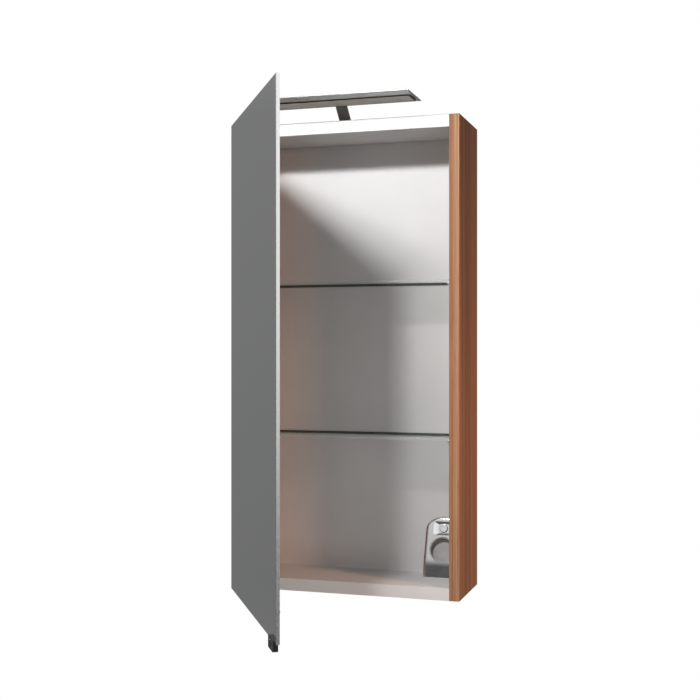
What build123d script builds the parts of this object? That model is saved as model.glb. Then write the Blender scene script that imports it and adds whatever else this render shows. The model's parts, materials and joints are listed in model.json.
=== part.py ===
"""Wall cabinet with one mirror door, a lamp on an arm and a socket and switch box inside.

Millimetres. The origin is midway between the two wall screws, on the wall plane.
X runs to the right, Y into the wall and Z up. The door stands open at its rest angle.
"""
import os
from math import cos, radians, sin, tan

from build123d import *

os.makedirs("parts", exist_ok=True)

# Carcass
WIDTH = 350.0
HEIGHT = 700.0
DEPTH = 130.0
SIDE_T = 15.0
BOARD_T = 18.0
EDGE_BAND_T = 1.0
BACK_T = 3.0
INNER_DEPTH = 106.0
GROOVE_DEPTH = 6.0
GROOVE_FIT = 0.25
HANG_DROP = 45.0

# Corner joints: dowels in front of and behind one cam fitting
DOWEL_R = 4.0
DOWEL_FIT = 0.05
DOWEL_IN_SIDE = 10.0
DOWEL_IN_BOARD = 20.0
DOWEL_END_GAP = 0.5
DOWEL_INSET = 28.0
JOINT_PITCH = 32.0
CAM_R = 7.5
CAM_FIT = 0.1
CAM_DEPTH = 12.5
CAM_DISTANCE = 24.0
CAM_KEY_W = 2.0
CAM_KEY_DEPTH = 3.0
BOLT_R = 3.0
BOLT_HOLE_FIT = 0.5
BOLT_THREAD_R = 2.5
BOLT_THREAD_L = 10.0
BOLT_HEAD_R = 3.5
BOLT_HEAD_L = 3.0

# Glass shelves on pins, with spare pin holes above and below
SHELF_T = 4.0
SHELF_SETBACK = 15.0
SHELF_REAR_GAP = 1.0
SHELF_SIDE_GAP = 1.5
LOWER_SHELF_RISE = 211.0
UPPER_SHELF_RISE = 442.0
PIN_FRONT = 32.0
PIN_PITCH = 56.0
PIN_HOLE_STEP = 32.0
PIN_R = 2.5
PIN_FIT = 0.05
PIN_IN_SIDE = 8.0
PIN_REACH = 9.0
PIN_COLLAR_R = 4.5
PIN_COLLAR_T = 1.2
PIN_FLAT = 0.8

# Hanger brackets in the gap behind the back panel
HANGER_T = 2.0
HANGER_D = 19.0
HANGER_W = 28.0
HANGER_ABOVE = 20.0
HANGER_BELOW = 35.0
KEYHOLE_INSET = 15.0
KEYHOLE_R = 4.5
KEYHOLE_SLOT_W = 4.8
KEYHOLE_RISE = 9.0
HANGER_SCREW_Y = -11.0
HANGER_SCREW_MARGIN = 10.0

# Countersunk screws
SCREW_R = 1.6
SCREW_HEAD_R = 3.0
SCREW_HEAD_L = 1.5
SCREW_FIT = 0.1
SCREW_L = 12.0

# Door: a front mirror and a narrower rear mirror, bonded back to back
DOOR_OPEN = 57.5
DOOR_REVEAL = 0.5
DOOR_OVER = 2.0
FRONT_MIRROR_T = 2.0
REAR_MIRROR_T = 3.0
REAR_MIRROR_INSET = 24.0
MIRROR_BEVEL = 0.6
BUMPER_R = 2.5
BUMPER_GAP = 0.3
BUMPER_EDGE = 0.6
BUMPER_INSET = 11.8
BUMPER_DROP = 36.0

# Slim butt hinges between the front mirror and the front edge of the left side
HINGE_AXIS_IN = 2.6
HINGE_AXIS_OUT = 3.0
HINGE_L = 60.0
HINGE_INSET = 85.0
HINGE_END_KNUCKLE = 15.0
HINGE_GAP = 0.3
KNUCKLE_R = 2.4
KNUCKLE_CLEAR = 0.4
HINGE_PIN_R = 1.2
HINGE_PIN_FIT = 0.05
HINGE_PIN_HEAD_R = 1.9
HINGE_PIN_HEAD_L = 1.0
LEAF_T = 1.2
FIXED_LEAF_REACH = 14.2
DOOR_LEAF_REACH = 20.0
LEAF_SCREW_IN = 9.6
LEAF_SCREW_PITCH = 21.0
LEAF_SCREW_R = 1.2
LEAF_SCREW_HEAD_R = 2.1
LEAF_SCREW_HEAD_L = 0.9
PAD_T = 0.5

# Grip at the free lower corner of the door
HANDLE_L = 32.0
HANDLE_END_GAP = 0.5
HANDLE_ABOVE = 6.4
HANDLE_BELOW = 9.4
HANDLE_PROUD = 3.6
HANDLE_TOP_EDGE = 0.9
HANDLE_WRAP = 6.8
HANDLE_CORNER_R = 2.5
DISH_L = 25.0
DISH_H = 10.0
DISH_DEPTH = 1.5

# Lamp over the door: a thin blade of sheet with a dark tray for the light below it
LAMP_L = 232.0
LAMP_D = 78.0
LAMP_T = 5.8
LAMP_FRONT = 66.0
LAMP_RISE = 19.0
LAMP_ROOF = 1.0
LAMP_WALL = 1.0
LAMP_NOSE_L = 16.2
LAMP_NOSE_T = 4.4
LAMP_CAP_T = 1.0
TRAY_D = 39.5
TRAY_END_GAP = 2.0
DIFFUSER_T = 1.2
DIFFUSER_GAP = 0.3
DIFFUSER_RECESS = 0.2
LED_BOARD_W = 10.0
LED_BOARD_T = 0.8
LED_BOARD_END = 10.0
LED_SIZE = 3.0
LED_T = 0.6
LED_COUNT = 14
ARM_W = 17.0
ARM_T = 3.0
ARM_FOOT_FRONT = 11.0
ARM_FOOT_L = 46.0
ARM_BEND_R = 4.0
ARM_SCREW_PITCH = 26.0
GROMMET_R = 5.0
GROMMET_BORE_R = 3.0
GROMMET_FLANGE_R = 7.5
GROMMET_FLANGE_T = 1.5
GROMMET_FIT = 0.1

# Socket and switch box in the lower right corner
BOX_W = 58.0
BOX_H = 88.0
BOX_ARCH_RISE = 15.0
BOX_DEPTH = 32.5
BOX_SKIRT_H = 21.0
BOX_SKIRT_LEAN = 3.0
BOX_LEAN = 20.0
BOX_WALL = 2.0
BOX_EDGE_R = 6.0
BOX_SHOULDER_R = 12.0
BOX_BROW_R = 50.0
BOX_SIDE_GAP = 0.5
BOX_FLOOR_GAP = 0.5
BOX_BRIDGE = 1.5
SOCKET_RISE = 40.0
SOCKET_WELL_R = 17.5
SOCKET_WELL_DEPTH = 10.0
SOCKET_MOUTH_R = 1.2
SOCKET_WALL = 2.0
SOCKET_BASE_T = 10.0
SOCKET_FIT = 0.2
SOCKET_PIN_PITCH = 19.0
SOCKET_PIN_R = 2.6
SOCKET_PIN_DEPTH = 0.8
EARTH_CLIP_W = 5.0
EARTH_CLIP_L = 7.0
EARTH_CLIP_FIT = 0.1
BEZEL_W = 33.0
BEZEL_L = 22.6
BEZEL_CORNER_R = 5.0
BEZEL_LIP = 0.6
BEZEL_LIP_T = 0.4
BEZEL_BODY_T = 3.2
BEZEL_FIT = 0.1
BEZEL_RIM = 0.8
BEZEL_DISH = 1.4
BEZEL_FLOOR_W = 17.6
BEZEL_FLOOR_L = 14.0
BEZEL_FLOOR_R = 4.0
BUTTON_R = 6.0
BUTTON_FIT = 0.3
BUTTON_PROUD = 0.8
BUTTON_TRAVEL = 2.0
BUTTON_EDGE = 0.8
BUTTON_DISH_R = 3.6
BUTTON_DISH = 0.3
STEM_R = 3.0
STEM_FIT = 0.08
STEM_L = 5.0
WORKS_W = 18.0
WORKS_H = 17.0
WORKS_GAP = 0.3
REAR_BODY_W = 46.0
REAR_BODY_H = 58.0
REAR_BODY_REACH = 16.0
REAR_BODY_RISE = 6.0
REAR_BODY_FIT = 0.5
REAR_BODY_CORNER_R = 4.0
INLET_R = 4.5
INLET_DEPTH = 6.0

# Main planes of the carcass
RIGHT_X = WIDTH / 2
LEFT_X = -RIGHT_X
INNER_RIGHT = RIGHT_X - SIDE_T
INNER_W = WIDTH - 2 * SIDE_T
FRONT_Y = -DEPTH
PANEL_FRONT_Y = FRONT_Y + EDGE_BAND_T
PANEL_D = DEPTH - EDGE_BAND_T
BACK_FACE_Y = FRONT_Y + INNER_DEPTH
BACK_REAR_Y = BACK_FACE_Y + BACK_T
TOP_Z = HANG_DROP
BOTTOM_Z = TOP_Z - HEIGHT
CEILING_Z = TOP_Z - BOARD_T
FLOOR_Z = BOTTOM_Z + BOARD_T

# Places of the corner joints, shelves and pins
DOWEL_YS = (FRONT_Y + DOWEL_INSET, FRONT_Y + DOWEL_INSET + 2 * JOINT_PITCH)
CAM_Y = FRONT_Y + DOWEL_INSET + JOINT_PITCH
BOARD_MID_ZS = (BOTTOM_Z + BOARD_T / 2, TOP_Z - BOARD_T / 2)
SHELF_ZS = (FLOOR_Z + LOWER_SHELF_RISE, FLOOR_Z + UPPER_SHELF_RISE)
PIN_YS = (FRONT_Y + PIN_FRONT, FRONT_Y + PIN_FRONT + PIN_PITCH)
PIN_DROP = PIN_R - PIN_FLAT
SIDE_SIGNS = (-1, 1)

# Door frame: local X runs from the hinge axis to the free edge, local Y to the back of the pane
AXIS_X = LEFT_X + HINGE_AXIS_IN
AXIS_Y = FRONT_Y - HINGE_AXIS_OUT
DOOR_TURN = radians(DOOR_OPEN)
DOOR = Plane(
    origin=(AXIS_X, AXIS_Y, 0),
    x_dir=(cos(DOOR_TURN), -sin(DOOR_TURN), 0),
    z_dir=(0, 0, 1),
)
DOOR_W = WIDTH - 2 * DOOR_REVEAL
DOOR_START = DOOR_REVEAL - HINGE_AXIS_IN
DOOR_END = DOOR_START + DOOR_W
DOOR_Z0 = BOTTOM_Z - DOOR_OVER
DOOR_H = HEIGHT + 2 * DOOR_OVER
BOND_V = -(KNUCKLE_R + PAD_T)
MIRROR_FACE_V = BOND_V - FRONT_MIRROR_T
REAR_FACE_V = BOND_V + REAR_MIRROR_T
LEAF_START = KNUCKLE_R + KNUCKLE_CLEAR
HINGE_ZS = (BOTTOM_Z + HINGE_INSET, TOP_Z - HINGE_INSET)
HINGE_NAMES = ("lower", "upper")
DOOR_KNUCKLE_L = HINGE_L - 2 * (HINGE_END_KNUCKLE + HINGE_GAP)

# Lamp planes
LAMP_Y0 = FRONT_Y - LAMP_FRONT
LAMP_Y1 = LAMP_Y0 + LAMP_D
LAMP_Z0 = TOP_Z + LAMP_RISE
LAMP_Z1 = LAMP_Z0 + LAMP_T
ROOF_Z = LAMP_Z1 - LAMP_ROOF
NOSE_Z = LAMP_Z1 - LAMP_NOSE_T
NOSE_Y = LAMP_Y0 + LAMP_NOSE_L
LAMP_INNER_L = LAMP_L - 2 * LAMP_CAP_T
TRAY_L = LAMP_INNER_L - 2 * TRAY_END_GAP
TRAY_Y0 = NOSE_Y + LAMP_WALL
TRAY_Y1 = TRAY_Y0 + TRAY_D
TRAY_MID_Y = (TRAY_Y0 + TRAY_Y1) / 2
LED_BOARD_L = TRAY_L - 2 * LED_BOARD_END
ARM_FOOT_Y0 = FRONT_Y + ARM_FOOT_FRONT
ARM_FOOT_Y1 = ARM_FOOT_Y0 + ARM_FOOT_L
GROMMET_Y = BACK_REAR_Y / 2

# Planes of the socket box: its leaning face carries the socket and the switch
BOX_X = INNER_RIGHT - BOX_SIDE_GAP - BOX_W / 2
BOX_Z0 = FLOOR_Z + BOX_FLOOR_GAP
SKIRT_TOP_DEPTH = BOX_DEPTH - BOX_SKIRT_LEAN
LEAN_SLOPE = tan(radians(BOX_LEAN))
SOCKET_RIM_R = SOCKET_WELL_R + SOCKET_WALL
SWITCH_OVER_SOCKET = SOCKET_RIM_R + SOCKET_FIT + BOX_BRIDGE + BEZEL_L / 2
SWITCH_RISE = SOCKET_RISE + SWITCH_OVER_SOCKET * cos(radians(BOX_LEAN))
FACE_NORMAL = (0, -cos(radians(BOX_LEAN)), sin(radians(BOX_LEAN)))


def face_depth(rise):
    """Distance from the back panel to the leaning face, at a height over the box's foot."""
    return SKIRT_TOP_DEPTH - (rise - BOX_SKIRT_H) * LEAN_SLOPE


def face_plane(rise):
    """Plane on the leaning face of the socket box, at a height over the box's foot."""
    return Plane(
        origin=(BOX_X, BACK_FACE_Y - face_depth(rise), BOX_Z0 + rise),
        x_dir=(1, 0, 0),
        z_dir=FACE_NORMAL,
    )


def cut_holes(plane, points, radius, depth):
    """Drill round holes along a plane's normal; a negative depth drills against it."""
    with BuildSketch(plane) as holes:
        with Locations(*points):
            Circle(radius)
    extrude(holes.sketch, amount=depth, mode=Mode.SUBTRACT)


def add_screws(planes, radius, head_radius, head_length, length):
    """Countersunk screws, each with its head flush with its plane and its shank below it."""
    for plane in planes:
        with BuildSketch(Plane(plane.origin, x_dir=plane.x_dir, z_dir=-plane.y_dir)) as half:
            with BuildLine():
                Polyline(
                    (0, 0),
                    (head_radius, 0),
                    (radius, -head_length),
                    (radius, -length),
                    (0, -length),
                    close=True,
                )
            make_face()
        revolve(half.sketch, axis=Axis(plane.origin, plane.z_dir))


def countersink(plane, radius, head_radius, head_length, depth):
    """Screw hole with a conical seat, from a plane down against its normal."""
    with BuildSketch(Plane(plane.origin, x_dir=plane.x_dir, z_dir=-plane.y_dir)) as half:
        with BuildLine():
            Polyline(
                (0, 0),
                (head_radius + SCREW_FIT, 0),
                (radius + SCREW_FIT, -head_length),
                (radius + SCREW_FIT, -depth),
                (0, -depth),
                close=True,
            )
        make_face()
    revolve(half.sketch, axis=Axis(plane.origin, plane.z_dir), mode=Mode.SUBTRACT)


def cut_board_joints(mid_z, outer_z, inward):
    """Dowel, bolt and cam holes in both ends of a top or bottom board."""
    for sign in SIDE_SIGNS:
        end = Plane.YZ.offset(sign * INNER_RIGHT)
        dowel_places = [(y, mid_z) for y in DOWEL_YS]
        cut_holes(end, dowel_places, DOWEL_R + DOWEL_FIT, -sign * (DOWEL_IN_BOARD + DOWEL_END_GAP))
        cut_holes(end, [(CAM_Y, mid_z)], BOLT_HEAD_R + BOLT_HOLE_FIT, -sign * CAM_DISTANCE)
        cam_place = (sign * (INNER_RIGHT - CAM_DISTANCE), CAM_Y)
        cut_holes(Plane.XY.offset(outer_z), [cam_place], CAM_R + CAM_FIT, inward * CAM_DEPTH)


def add_box_block(margin):
    """Block of the socket box with rounded front edges, set in from its skin by a margin."""
    half_w = BOX_W / 2 - margin
    arch_z = BOX_Z0 + BOX_H - BOX_ARCH_RISE
    lean_margin = margin / cos(radians(BOX_LEAN))
    with BuildSketch(Plane.XZ.offset(-BACK_FACE_Y)) as outline:
        with BuildLine():
            arch = ThreePointArc(
                (BOX_X - half_w, arch_z),
                (BOX_X, BOX_Z0 + BOX_H - margin),
                (BOX_X + half_w, arch_z),
            )
            Polyline(
                arch @ 1,
                (BOX_X + half_w, BOX_Z0 + margin),
                (BOX_X - half_w, BOX_Z0 + margin),
                arch @ 0,
            )
        make_face()
        fillet(outline.vertices().group_by(Axis.Y)[-1], BOX_SHOULDER_R - margin)
    extrude(outline.sketch, amount=BOX_DEPTH)
    with BuildSketch(Plane.YZ.offset(BOX_X - BOX_W)) as front:
        with BuildLine():
            Polyline(
                (BACK_FACE_Y - BOX_DEPTH + lean_margin, BOX_Z0),
                (BACK_FACE_Y - SKIRT_TOP_DEPTH + lean_margin, BOX_Z0 + BOX_SKIRT_H),
                (BACK_FACE_Y - face_depth(BOX_H) + lean_margin, BOX_Z0 + BOX_H),
                (BACK_FACE_Y - 2 * BOX_DEPTH, BOX_Z0 + BOX_H),
                (BACK_FACE_Y - 2 * BOX_DEPTH, BOX_Z0),
                close=True,
            )
        make_face()
        fillet(front.vertices().group_by(Axis.Y)[1], BOX_BROW_R - margin)
    extrude(front.sketch, amount=2 * BOX_W, mode=Mode.SUBTRACT)
    front_faces = faces().filter_by(lambda face: face.normal_at().Y < -sin(radians(BOX_LEAN)))
    fillet(front_faces.edges().filter_by(Axis.X, reverse=True), BOX_EDGE_R - margin)


def add_bezel_outline(margin):
    """Rounded outline of the switch bezel in a sketch, set in from its lip by a margin."""
    RectangleRounded(BEZEL_W - 2 * margin, BEZEL_L - 2 * margin, BEZEL_CORNER_R - margin)


# Right side panel: back panel groove, dowel and bolt holes, shelf pin holes, hanger screw holes
HANGER_SCREW_ZS = (HANGER_ABOVE - HANGER_SCREW_MARGIN, HANGER_SCREW_MARGIN - HANGER_BELOW)
with BuildPart() as right_side_panel:
    with BuildSketch(Plane.XY.offset(BOTTOM_Z)):
        with Locations((INNER_RIGHT, 0)):
            Rectangle(SIDE_T, PANEL_D, align=(Align.MIN, Align.MAX))
        with Locations((INNER_RIGHT, BACK_FACE_Y + BACK_T / 2)):
            Rectangle(
                GROOVE_DEPTH,
                BACK_T + 2 * GROOVE_FIT,
                align=(Align.MIN, Align.CENTER),
                mode=Mode.SUBTRACT,
            )
    extrude(amount=HEIGHT)
    inner_face = Plane.YZ.offset(INNER_RIGHT)
    cut_holes(
        inner_face,
        [(y, z) for y in DOWEL_YS for z in BOARD_MID_ZS],
        DOWEL_R + DOWEL_FIT,
        DOWEL_IN_SIDE + DOWEL_END_GAP,
    )
    cut_holes(inner_face, [(CAM_Y, z) for z in BOARD_MID_ZS], BOLT_THREAD_R, BOLT_THREAD_L)
    pin_places = [
        (y, z - PIN_DROP + step * PIN_HOLE_STEP)
        for y in PIN_YS
        for z in SHELF_ZS
        for step in (-1, 0, 1)
    ]
    cut_holes(inner_face, pin_places, PIN_R + PIN_FIT, PIN_IN_SIDE)
    cut_holes(
        inner_face,
        [(HANGER_SCREW_Y, z) for z in HANGER_SCREW_ZS],
        SCREW_R,
        SCREW_L - HANGER_T,
    )
right_side_panel.part.label = "right_side_panel"
export_step(right_side_panel.part, "parts/right_side_panel.step")

# Left side panel: the right one mirrored, with the hinge screw holes in its front edge
LEAF_SCREW_PLACES = [
    (LEFT_X + LEAF_SCREW_IN, z + step * LEAF_SCREW_PITCH) for z in HINGE_ZS for step in (-1, 0, 1)
]
with BuildPart() as left_side_panel:
    mirror(right_side_panel.part, about=Plane.YZ)
    cut_holes(
        Plane.XZ.offset(-PANEL_FRONT_Y),
        LEAF_SCREW_PLACES,
        LEAF_SCREW_R,
        -(SCREW_L - LEAF_T - EDGE_BAND_T),
    )
left_side_panel.part.label = "left_side_panel"
export_step(left_side_panel.part, "parts/left_side_panel.step")

# Bottom board between the sides, grooved for the back panel
with BuildPart() as bottom_panel:
    with BuildSketch(Plane.XY.offset(BOTTOM_Z)):
        Rectangle(INNER_W, PANEL_D, align=(Align.CENTER, Align.MAX))
    extrude(amount=BOARD_T)
    with BuildSketch(Plane.XY.offset(FLOOR_Z)):
        with Locations((0, BACK_FACE_Y + BACK_T / 2)):
            Rectangle(INNER_W, BACK_T + 2 * GROOVE_FIT)
    extrude(amount=-GROOVE_DEPTH, mode=Mode.SUBTRACT)
    cut_board_joints(BOARD_MID_ZS[0], BOTTOM_Z, 1)
bottom_panel.part.label = "bottom_panel"
export_step(bottom_panel.part, "parts/bottom_panel.step")

# Top board, with the lamp arm's screw holes and the cable hole behind the back panel
ARM_SCREW_YS = [(ARM_FOOT_Y0 + ARM_FOOT_Y1 + side * ARM_SCREW_PITCH) / 2 for side in SIDE_SIGNS]
with BuildPart() as top_panel:
    with BuildSketch(Plane.XY.offset(CEILING_Z)):
        Rectangle(INNER_W, PANEL_D, align=(Align.CENTER, Align.MAX))
    extrude(amount=BOARD_T)
    with BuildSketch(Plane.XY.offset(CEILING_Z)):
        with Locations((0, BACK_FACE_Y + BACK_T / 2)):
            Rectangle(INNER_W, BACK_T + 2 * GROOVE_FIT)
    extrude(amount=GROOVE_DEPTH, mode=Mode.SUBTRACT)
    cut_board_joints(BOARD_MID_ZS[1], TOP_Z, -1)
    top_face = Plane.XY.offset(TOP_Z)
    cut_holes(top_face, [(0, y) for y in ARM_SCREW_YS], SCREW_R, ARM_T - SCREW_L)
    cut_holes(top_face, [(0, GROMMET_Y)], GROMMET_R + GROMMET_FIT, -BOARD_T)
top_panel.part.label = "top_panel"
export_step(top_panel.part, "parts/top_panel.step")

# Back panel in the grooves, cut out behind the socket box
BACK_W = INNER_W + 2 * (GROOVE_DEPTH - GROOVE_FIT)
BACK_H = CEILING_Z - FLOOR_Z + 2 * (GROOVE_DEPTH - GROOVE_FIT)
REAR_BODY_Z = BOX_Z0 + REAR_BODY_RISE + REAR_BODY_H / 2
with BuildPart() as back_panel:
    with BuildSketch(Plane.XZ.offset(-BACK_REAR_Y)):
        with Locations((0, (FLOOR_Z + CEILING_Z) / 2)):
            Rectangle(BACK_W, BACK_H)
        with Locations((BOX_X, REAR_BODY_Z)):
            RectangleRounded(
                REAR_BODY_W + 2 * REAR_BODY_FIT,
                REAR_BODY_H + 2 * REAR_BODY_FIT,
                REAR_BODY_CORNER_R + REAR_BODY_FIT,
                mode=Mode.SUBTRACT,
            )
    extrude(amount=BACK_T)
back_panel.part.label = "back_panel"
export_step(back_panel.part, "parts/back_panel.step")

# Edge bands glued to the front of the four boards
for name, sign in (("left", -1), ("right", 1)):
    with BuildPart() as side_edge_band:
        with BuildSketch(Plane.XZ.offset(-PANEL_FRONT_Y)):
            with Locations((sign * (RIGHT_X - SIDE_T / 2), BOTTOM_Z + HEIGHT / 2)):
                Rectangle(SIDE_T, HEIGHT)
        extrude(amount=EDGE_BAND_T)
        if sign < 0:
            cut_holes(Plane.XZ.offset(-FRONT_Y), LEAF_SCREW_PLACES, LEAF_SCREW_R, -EDGE_BAND_T)
    side_edge_band.part.label = name + "_edge_band"
    export_step(side_edge_band.part, "parts/" + name + "_edge_band.step")

for name, mid_z in zip(("bottom", "top"), BOARD_MID_ZS):
    with BuildPart() as board_edge_band:
        with BuildSketch(Plane.XZ.offset(-PANEL_FRONT_Y)):
            with Locations((0, mid_z)):
                Rectangle(INNER_W, BOARD_T)
        extrude(amount=EDGE_BAND_T)
    board_edge_band.part.label = name + "_edge_band"
    export_step(board_edge_band.part, "parts/" + name + "_edge_band.step")

# Wood dowels across the four corners
with BuildPart() as dowels:
    for sign in SIDE_SIGNS:
        with BuildSketch(Plane.YZ.offset(sign * (INNER_RIGHT + DOWEL_IN_SIDE))):
            with Locations(*[(y, z) for y in DOWEL_YS for z in BOARD_MID_ZS]):
                Circle(DOWEL_R)
        extrude(amount=-sign * (DOWEL_IN_SIDE + DOWEL_IN_BOARD))
dowels.part.label = "dowels"
export_step(dowels.part, "parts/dowels.step")

# Cam bolts: a thread in the side, a shank through the board's end, and a head inside the cam
with BuildPart() as cam_bolts:
    for sign in SIDE_SIGNS:
        for mid_z in BOARD_MID_ZS:
            with BuildSketch(Plane(origin=(sign * INNER_RIGHT, CAM_Y, mid_z), z_dir=(0, 0, 1))):
                with BuildLine():
                    Polyline(
                        (sign * BOLT_THREAD_L, 0),
                        (sign * BOLT_THREAD_L, BOLT_THREAD_R),
                        (0, BOLT_THREAD_R),
                        (0, BOLT_R),
                        (sign * (BOLT_HEAD_L / 2 - CAM_DISTANCE), BOLT_R),
                        (sign * (BOLT_HEAD_L / 2 - CAM_DISTANCE), BOLT_HEAD_R),
                        (sign * (-BOLT_HEAD_L / 2 - CAM_DISTANCE), BOLT_HEAD_R),
                        (sign * (-BOLT_HEAD_L / 2 - CAM_DISTANCE), 0),
                        close=True,
                    )
                make_face()
            revolve(axis=Axis((0, CAM_Y, mid_z), (1, 0, 0)))
cam_bolts.part.label = "cam_bolts"
export_step(cam_bolts.part, "parts/cam_bolts.step")

# Cam locks: slotted discs that grip the bolt heads, with a screwdriver slot in the outer face
with BuildPart() as cam_locks:
    for outer_z, inward, mid_z in ((BOTTOM_Z, 1, BOARD_MID_ZS[0]), (TOP_Z, -1, BOARD_MID_ZS[1])):
        for sign in SIDE_SIGNS:
            cam_x = sign * (INNER_RIGHT - CAM_DISTANCE)
            with BuildSketch(Plane.XY.offset(outer_z)):
                with Locations((cam_x, CAM_Y)):
                    Circle(CAM_R)
            extrude(amount=inward * CAM_DEPTH)
            with BuildSketch(Plane.XY.offset(outer_z)):
                with Locations((cam_x, CAM_Y)):
                    Rectangle(2 * (CAM_R - CAM_KEY_W), CAM_KEY_W)
            extrude(amount=inward * CAM_KEY_DEPTH, mode=Mode.SUBTRACT)
            throat_start = cam_x - sign * (BOLT_HEAD_L / 2 + CAM_FIT)
            cut_holes(
                Plane.YZ.offset(throat_start),
                [(CAM_Y, mid_z)],
                BOLT_HEAD_R + CAM_FIT,
                sign * 2 * CAM_R,
            )
cam_locks.part.label = "cam_locks"
export_step(cam_locks.part, "parts/cam_locks.step")

# Glass shelves
SHELF_W = INNER_W - 2 * SHELF_SIDE_GAP
SHELF_D = INNER_DEPTH - SHELF_SETBACK - SHELF_REAR_GAP
for name, shelf_z in zip(("lower", "upper"), SHELF_ZS):
    with BuildPart() as glass_shelf:
        with BuildSketch(Plane.XY.offset(shelf_z)):
            with Locations((0, BACK_FACE_Y - SHELF_REAR_GAP)):
                Rectangle(SHELF_W, SHELF_D, align=(Align.CENTER, Align.MAX))
        extrude(amount=SHELF_T)
    glass_shelf.part.label = name + "_glass_shelf"
    export_step(glass_shelf.part, "parts/" + name + "_glass_shelf.step")

# Shelf pins: a shank in the side, a collar against it, and a peg with a flat under the glass
with BuildPart() as shelf_pins:
    for sign in SIDE_SIGNS:
        for y in PIN_YS:
            for shelf_z in SHELF_ZS:
                pin_axis = Axis((0, y, shelf_z - PIN_DROP), (1, 0, 0))
                with BuildSketch(Plane(origin=(sign * INNER_RIGHT, y, shelf_z - PIN_DROP))):
                    with BuildLine():
                        Polyline(
                            (sign * PIN_IN_SIDE, 0),
                            (sign * PIN_IN_SIDE, PIN_R),
                            (0, PIN_R),
                            (0, PIN_COLLAR_R),
                            (-sign * PIN_COLLAR_T, PIN_COLLAR_R),
                            (-sign * PIN_COLLAR_T, PIN_R),
                            (-sign * PIN_REACH, PIN_R),
                            (-sign * PIN_REACH, 0),
                            close=True,
                        )
                    make_face()
                revolve(axis=pin_axis)
                with BuildSketch(Plane.XY.offset(shelf_z)):
                    with Locations((sign * (INNER_RIGHT - PIN_COLLAR_T), y)):
                        Rectangle(
                            PIN_REACH,
                            2 * PIN_COLLAR_R,
                            align=(Align.MAX if sign > 0 else Align.MIN, Align.CENTER),
                        )
                extrude(amount=PIN_COLLAR_R, mode=Mode.SUBTRACT)
shelf_pins.part.label = "shelf_pins"
export_step(shelf_pins.part, "parts/shelf_pins.step")

# Hanger brackets: an angle with a keyhole in the wall flange
HANGER_SCREW_PLANES = [
    Plane(origin=(INNER_RIGHT - HANGER_T, HANGER_SCREW_Y, z), x_dir=(0, 1, 0), z_dir=(-1, 0, 0))
    for z in HANGER_SCREW_ZS
]
with BuildPart() as right_hanger:
    with BuildSketch(Plane.XY.offset(-HANGER_BELOW)):
        with Locations((INNER_RIGHT, 0)):
            Rectangle(HANGER_T, HANGER_D, align=(Align.MAX, Align.MAX))
            Rectangle(HANGER_W, HANGER_T, align=(Align.MAX, Align.MAX))
    extrude(amount=HANGER_ABOVE + HANGER_BELOW)
    with BuildSketch(Plane.XZ):
        with Locations((INNER_RIGHT - KEYHOLE_INSET, 0)):
            Circle(KEYHOLE_R)
            Rectangle(KEYHOLE_SLOT_W, KEYHOLE_RISE, align=(Align.CENTER, Align.MIN))
        with Locations((INNER_RIGHT - KEYHOLE_INSET, KEYHOLE_RISE)):
            Circle(KEYHOLE_SLOT_W / 2)
    extrude(amount=HANGER_T, mode=Mode.SUBTRACT)
    for screw_plane in HANGER_SCREW_PLANES:
        countersink(screw_plane, SCREW_R, SCREW_HEAD_R, SCREW_HEAD_L, HANGER_T)
right_hanger.part.label = "right_hanger"
export_step(right_hanger.part, "parts/right_hanger.step")

with BuildPart() as left_hanger:
    mirror(right_hanger.part, about=Plane.YZ)
left_hanger.part.label = "left_hanger"
export_step(left_hanger.part, "parts/left_hanger.step")

with BuildPart() as hanger_screws:
    add_screws(HANGER_SCREW_PLANES, SCREW_R, SCREW_HEAD_R, SCREW_HEAD_L, SCREW_L)
    mirror(about=Plane.YZ)
hanger_screws.part.label = "hanger_screws"
export_step(hanger_screws.part, "parts/hanger_screws.step")

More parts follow.
